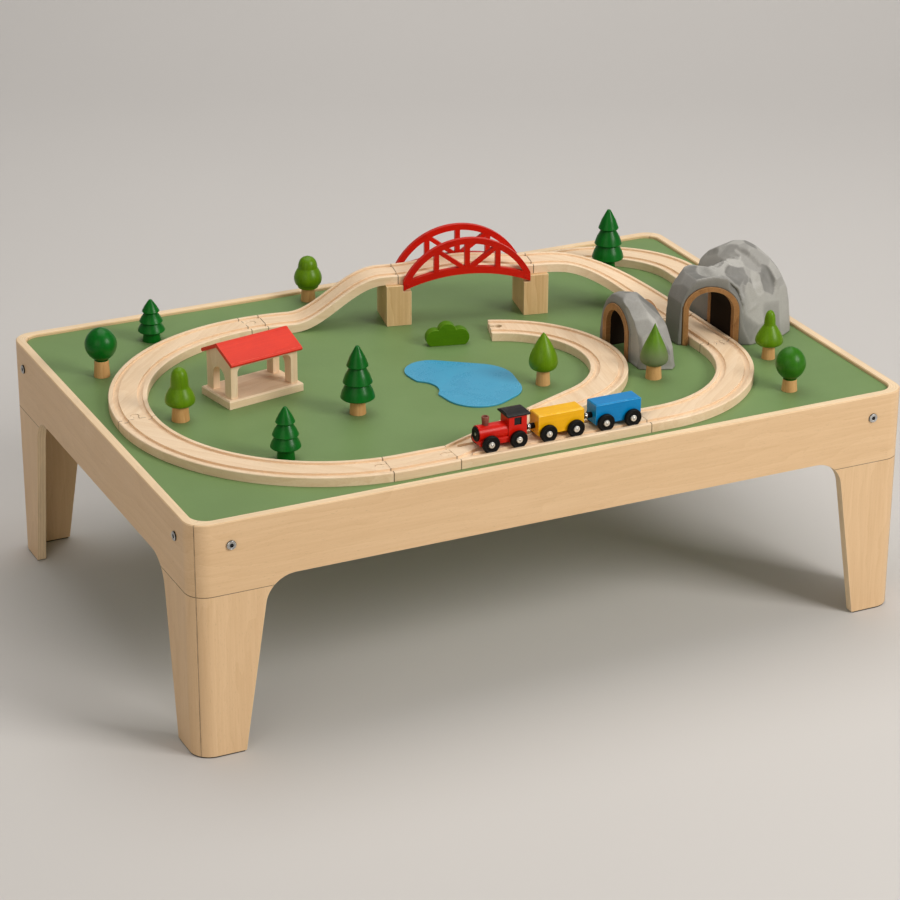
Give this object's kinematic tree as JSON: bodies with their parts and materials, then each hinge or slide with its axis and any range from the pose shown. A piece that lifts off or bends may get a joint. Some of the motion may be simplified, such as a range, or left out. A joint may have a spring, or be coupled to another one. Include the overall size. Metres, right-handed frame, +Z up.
{
  "type": "train table",
  "caption": "Low plywood play table with tapered legs and a let-in green board, carrying a wooden railway loop with bridge, tunnels, station, trees and a small train.",
  "frame": {"origin": "on the floor under the middle of the table", "axes": "+X along the table's long side, to the right seen from the front, +Y to the back, +Z up"},
  "size_m": [1.206, 0.818, 0.515],
  "materials": {
    "plywood": "clear lacquer, satin",
    "green_board": "satin laminate",
    "steel": "zinc plated",
    "pad": "matt",
    "pine": "bare, sanded",
    "track_wood": "bare beech, sanded",
    "red_paint": "gloss paint",
    "roof_red": "satin paint",
    "blue_pond": "gloss paint",
    "rock_grey": "matt paint",
    "portal_wood": "stained",
    "light_green": "satin paint",
    "dark_green": "satin paint",
    "black_paint": "satin paint",
    "yellow_paint": "gloss paint",
    "blue_paint": "gloss paint",
    "black_plastic": "moulded"
  },
  "bodies": {
    "table": {"play_board": "green_board", "rail_front": "plywood", "rail_back": "plywood", "rail_left": "plywood", "rail_right": "plywood", "leg_front_left": "plywood", "leg_front_right": "plywood", "leg_back_left": "plywood", "leg_back_right": "plywood", "corner_blocks": "pine", "rail_bolts": "steel", "board_battens": "pine", "foot_pads": "pad", "straight_left": "track_wood", "curve_left_front": "track_wood", "curve_left_back": "track_wood", "joint_back": "track_wood", "ramp_left": "track_wood", "bridge_deck": "track_wood", "ramp_right": "track_wood", "straight_tunnel": "track_wood", "curve_right": "track_wood", "switch_front": "track_wood", "siding": "track_wood", "spur": "track_wood", "bridge_arches": "red_paint", "bridge_piers": "pine", "pond": "blue_pond"},
    "station": {"station_base": "track_wood", "station_gables": "pine", "station_roof": "roof_red"},
    "mountain": {"mountain_rock": "rock_grey", "mountain_portals": "portal_wood"},
    "cave": {"cave_rock": "rock_grey", "cave_portals": "portal_wood"},
    "bush": {"bush": "light_green"},
    "tree_ball_left": {"tree_ball_left": "dark_green"},
    "tree_spruce_back_left": {"tree_spruce_back_left": "dark_green"},
    "tree_round_back": {"tree_round_back": "light_green"},
    "tree_bell_left": {"tree_bell_left": "light_green"},
    "tree_spruce_front_left": {"tree_spruce_front_left": "dark_green"},
    "tree_spruce_middle": {"tree_spruce_middle": "dark_green"},
    "tree_egg_middle": {"tree_egg_middle": "light_green"},
    "tree_spruce_back_right": {"tree_spruce_back_right": "dark_green"},
    "tree_cone_cave": {"tree_cone_cave": "light_green"},
    "tree_cone_right": {"tree_cone_right": "light_green"},
    "tree_ball_right": {"tree_ball_right": "dark_green"},
    "loco": {"loco_body": "red_paint", "loco_roof": "black_paint", "loco_fittings": "black_paint"},
    "yellow_car": {"yellow_wagon": "yellow_paint", "yellow_couplers": "black_plastic"},
    "blue_car": {"blue_wagon": "blue_paint", "blue_couplers": "black_plastic"},
    "wheelset_loco_front": {"wheelset_loco_front": "black_plastic"},
    "wheelset_loco_rear": {"wheelset_loco_rear": "black_plastic"},
    "wheelset_yellow_front": {"wheelset_yellow_front": "black_plastic"},
    "wheelset_yellow_rear": {"wheelset_yellow_rear": "black_plastic"},
    "wheelset_blue_front": {"wheelset_blue_front": "black_plastic"},
    "wheelset_blue_rear": {"wheelset_blue_rear": "black_plastic"}
  },
  "joints": [
    {"name": "station_lift", "type": "slide", "parent": "table", "child": "station", "axis": [0, 0, 1], "range_m": [0, 0.12]},
    {"name": "mountain_lift", "type": "slide", "parent": "table", "child": "mountain", "axis": [0, 0, 1], "range_m": [0, 0.15]},
    {"name": "cave_lift", "type": "slide", "parent": "table", "child": "cave", "axis": [0, 0, 1], "range_m": [0, 0.12]},
    {"name": "bush_lift", "type": "slide", "parent": "table", "child": "bush", "axis": [0, 0, 1], "range_m": [0, 0.1]},
    {"name": "tree_ball_left_lift", "type": "slide", "parent": "table", "child": "tree_ball_left", "axis": [0, 0, 1], "range_m": [0, 0.12]},
    {"name": "tree_spruce_back_left_lift", "type": "slide", "parent": "table", "child": "tree_spruce_back_left", "axis": [0, 0, 1], "range_m": [0, 0.12]},
    {"name": "tree_round_back_lift", "type": "slide", "parent": "table", "child": "tree_round_back", "axis": [0, 0, 1], "range_m": [0, 0.12]},
    {"name": "tree_bell_left_lift", "type": "slide", "parent": "table", "child": "tree_bell_left", "axis": [0, 0, 1], "range_m": [0, 0.12]},
    {"name": "tree_spruce_front_left_lift", "type": "slide", "parent": "table", "child": "tree_spruce_front_left", "axis": [0, 0, 1], "range_m": [0, 0.12]},
    {"name": "tree_spruce_middle_lift", "type": "slide", "parent": "table", "child": "tree_spruce_middle", "axis": [0, 0, 1], "range_m": [0, 0.12]},
    {"name": "tree_egg_middle_lift", "type": "slide", "parent": "table", "child": "tree_egg_middle", "axis": [0, 0, 1], "range_m": [0, 0.12]},
    {"name": "tree_spruce_back_right_lift", "type": "slide", "parent": "table", "child": "tree_spruce_back_right", "axis": [0, 0, 1], "range_m": [0, 0.12]},
    {"name": "tree_cone_cave_lift", "type": "slide", "parent": "table", "child": "tree_cone_cave", "axis": [0, 0, 1], "range_m": [0, 0.12]},
    {"name": "tree_cone_right_lift", "type": "slide", "parent": "table", "child": "tree_cone_right", "axis": [0, 0, 1], "range_m": [0, 0.12]},
    {"name": "tree_ball_right_lift", "type": "slide", "parent": "table", "child": "tree_ball_right", "axis": [0, 0, 1], "range_m": [0, 0.12]},
    {"name": "loco_run", "type": "slide", "parent": "table", "child": "loco", "axis": [1, 0, 0], "range_m": [-0.12, 0.05]},
    {"name": "yellow_car_run", "type": "slide", "parent": "table", "child": "yellow_car", "axis": [1, 0, 0], "range_m": [-0.12, 0.05]},
    {"name": "blue_car_run", "type": "slide", "parent": "table", "child": "blue_car", "axis": [1, 0, 0], "range_m": [-0.12, 0.05]},
    {"name": "wheelset_loco_front_spin", "type": "hinge", "parent": "loco", "child": "wheelset_loco_front", "pos_m": [-0.106, -0.344, 0.3963], "axis": [0, 1, 0], "continuous": true},
    {"name": "wheelset_loco_rear_spin", "type": "hinge", "parent": "loco", "child": "wheelset_loco_rear", "pos_m": [-0.06, -0.344, 0.3963], "axis": [0, 1, 0], "continuous": true},
    {"name": "wheelset_yellow_front_spin", "type": "hinge", "parent": "yellow_car", "child": "wheelset_yellow_front", "pos_m": [-0.01, -0.344, 0.3963], "axis": [0, 1, 0], "continuous": true},
    {"name": "wheelset_yellow_rear_spin", "type": "hinge", "parent": "yellow_car", "child": "wheelset_yellow_rear", "pos_m": [0.036, -0.344, 0.3963], "axis": [0, 1, 0], "continuous": true},
    {"name": "wheelset_blue_front_spin", "type": "hinge", "parent": "blue_car", "child": "wheelset_blue_front", "pos_m": [0.087, -0.344, 0.3963], "axis": [0, 1, 0], "continuous": true},
    {"name": "wheelset_blue_rear_spin", "type": "hinge", "parent": "blue_car", "child": "wheelset_blue_rear", "pos_m": [0.133, -0.344, 0.3963], "axis": [0, 1, 0], "continuous": true}
  ],
  "couplings": [
    {"joint": "yellow_car_run", "follows": "loco_run", "ratio": 1},
    {"joint": "blue_car_run", "follows": "loco_run", "ratio": 1},
    {"joint": "wheelset_loco_front_spin", "follows": "loco_run", "rad_per_m": 71.429},
    {"joint": "wheelset_loco_rear_spin", "follows": "loco_run", "rad_per_m": 71.429},
    {"joint": "wheelset_yellow_front_spin", "follows": "loco_run", "rad_per_m": 71.429},
    {"joint": "wheelset_yellow_rear_spin", "follows": "loco_run", "rad_per_m": 71.429},
    {"joint": "wheelset_blue_front_spin", "follows": "loco_run", "rad_per_m": 71.429},
    {"joint": "wheelset_blue_rear_spin", "follows": "loco_run", "rad_per_m": 71.429}
  ]
}
